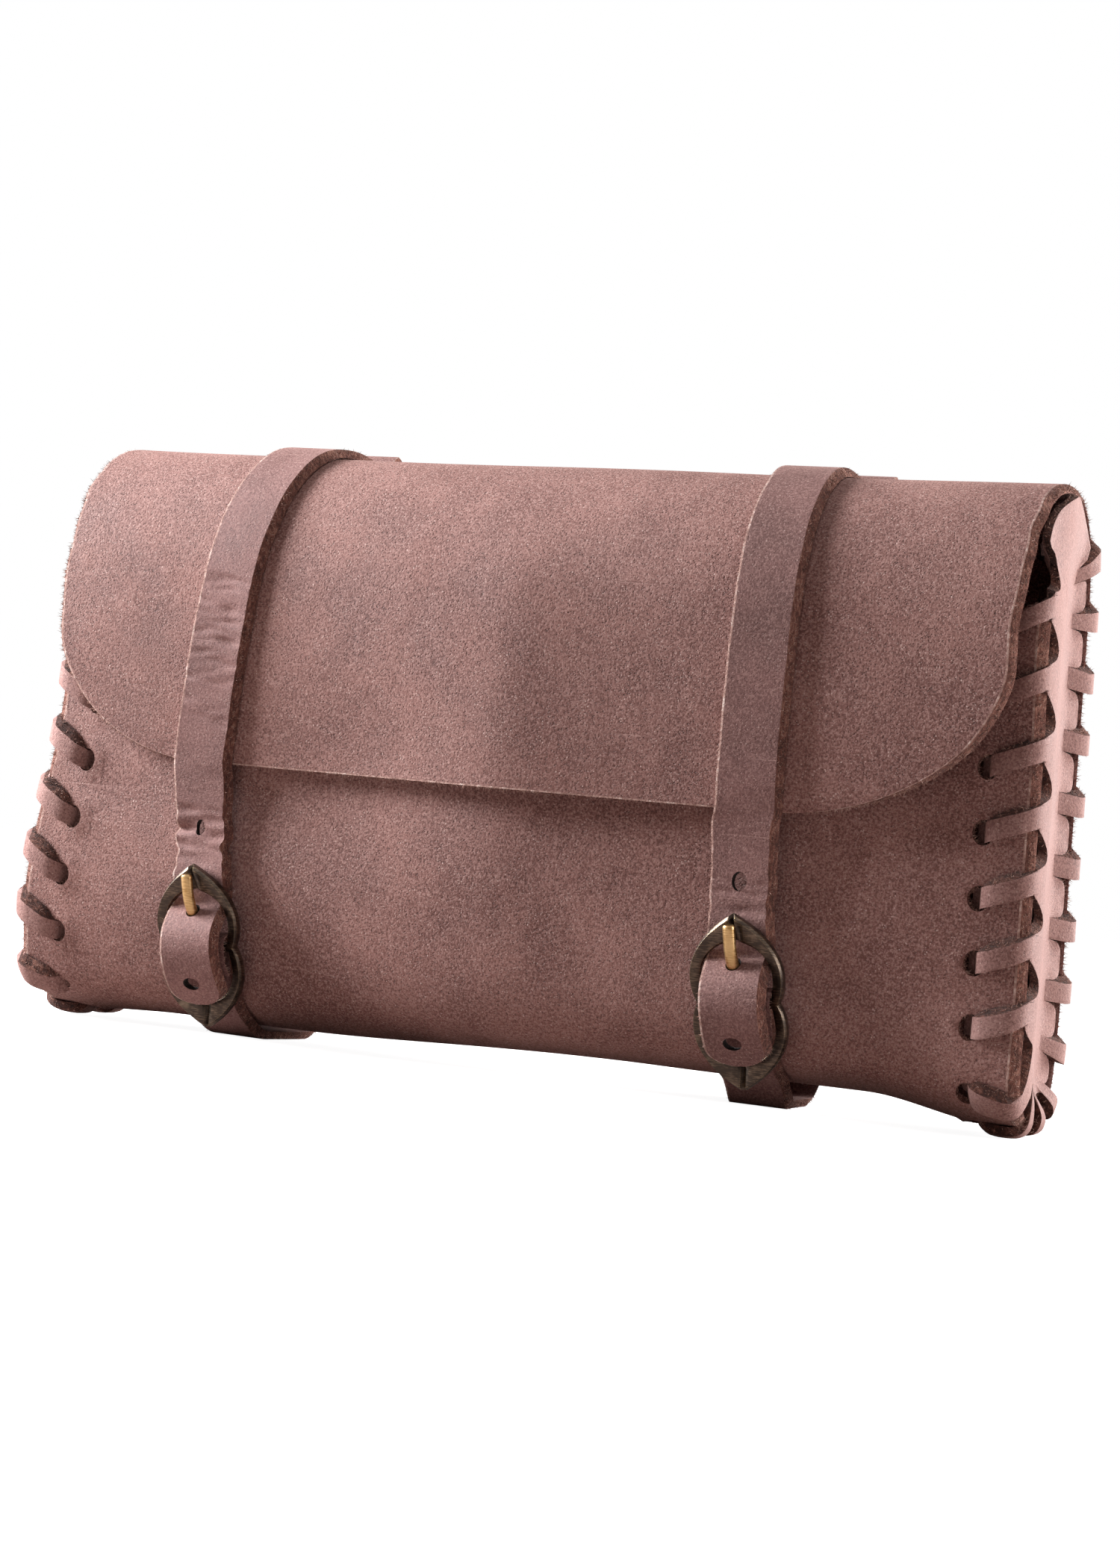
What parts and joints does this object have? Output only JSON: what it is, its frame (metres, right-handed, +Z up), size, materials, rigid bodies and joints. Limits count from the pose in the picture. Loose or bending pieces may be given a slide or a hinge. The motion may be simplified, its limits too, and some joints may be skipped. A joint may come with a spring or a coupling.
{
  "type": "leather belt bag",
  "caption": "Small closed leather belt bag with a rounded flap, finger-laced gussets, buckled closing straps and belt loops at the back.",
  "frame": {"origin": "on the floor under the middle of the bag's bounding box", "axes": "+X along the bag's width, to the right as seen from the front; +Y to the back; +Z up"},
  "size_m": [0.2756, 0.0858, 0.1667],
  "materials": {
    "body_leather": "matt nubuck, mauve brown, cloudy, raw cut edges",
    "gusset_leather": "matt nubuck, mauve brown, raw cut edges",
    "strap_leather": "smoother matt leather, greyer mauve, cross wrinkles",
    "antique_brass": "dark antique patina, brushed, golden on worn edges",
    "worn_brass": "bare brass wire, lightly worn"
  },
  "bodies": {
    "root": {"body_panel": "body_leather", "gusset_left": "gusset_leather", "gusset_right": "gusset_leather", "strap_left": "strap_leather", "strap_right": "strap_leather", "buckle_left": "antique_brass", "buckle_right": "antique_brass", "prong_left": "worn_brass", "prong_right": "worn_brass", "belt_loop_left": "strap_leather", "belt_loop_right": "strap_leather"}
  },
  "joints": []
}
